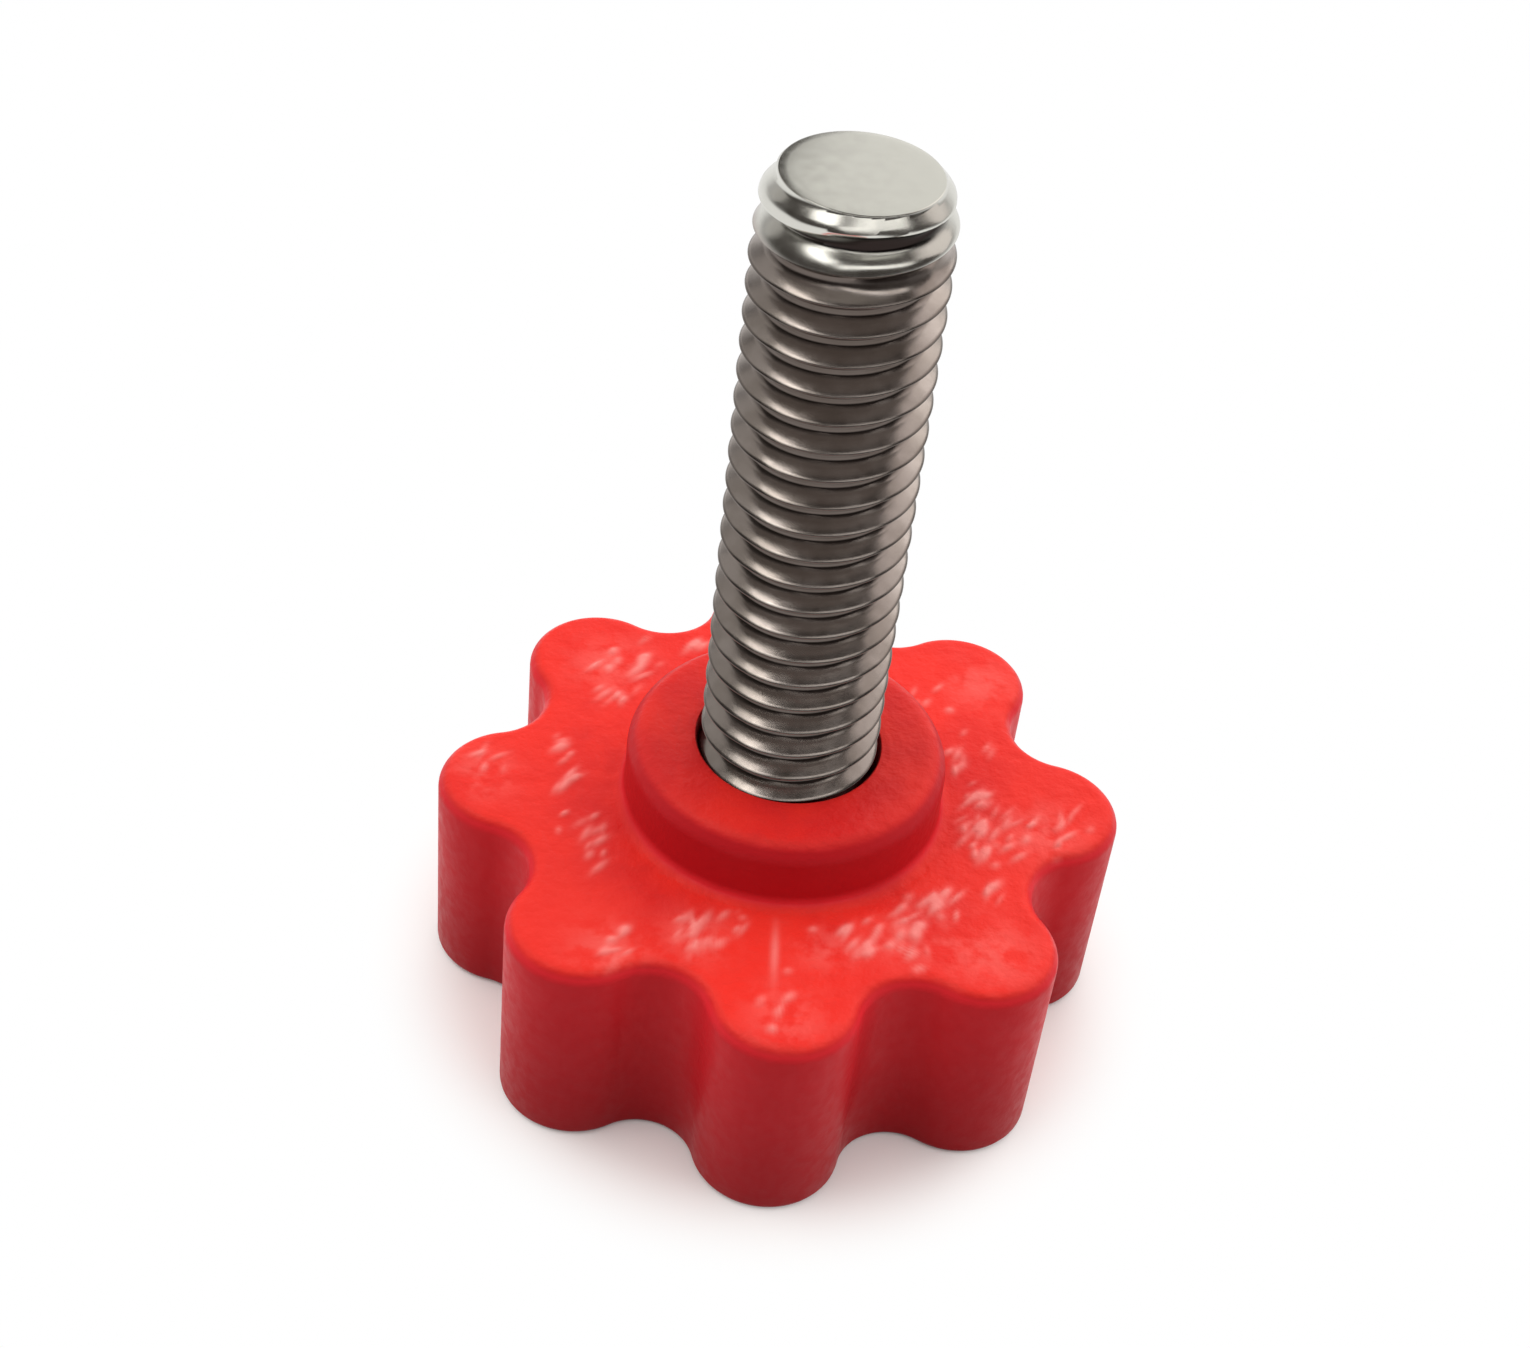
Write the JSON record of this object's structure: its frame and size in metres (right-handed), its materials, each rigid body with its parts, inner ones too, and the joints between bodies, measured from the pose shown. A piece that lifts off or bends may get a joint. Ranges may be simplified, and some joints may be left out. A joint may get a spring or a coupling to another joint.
{
  "type": "bolt head knob",
  "caption": "Lobed plastic hand knob with a hex pocket that holds a bolt head, and a threaded shank standing out of a raised boss.",
  "frame": {"origin": "centre of the knob's flat outer face, which it stands on, on the bolt's axis", "axes": "+Z along the bolt's axis, from the knob towards the threaded end; +X and +Y each point at a lobe's tip"},
  "size_m": [0.0234, 0.0234, 0.0318],
  "materials": {
    "red_plastic": "red plastic, satin on the walls and slightly rough with small glossy specks on the top face",
    "stainless_steel": "plain stainless steel, slightly dull, with a fine rolled thread"
  },
  "bodies": {
    "root": {"knob": "red_plastic", "bolt": "stainless_steel"}
  },
  "joints": []
}
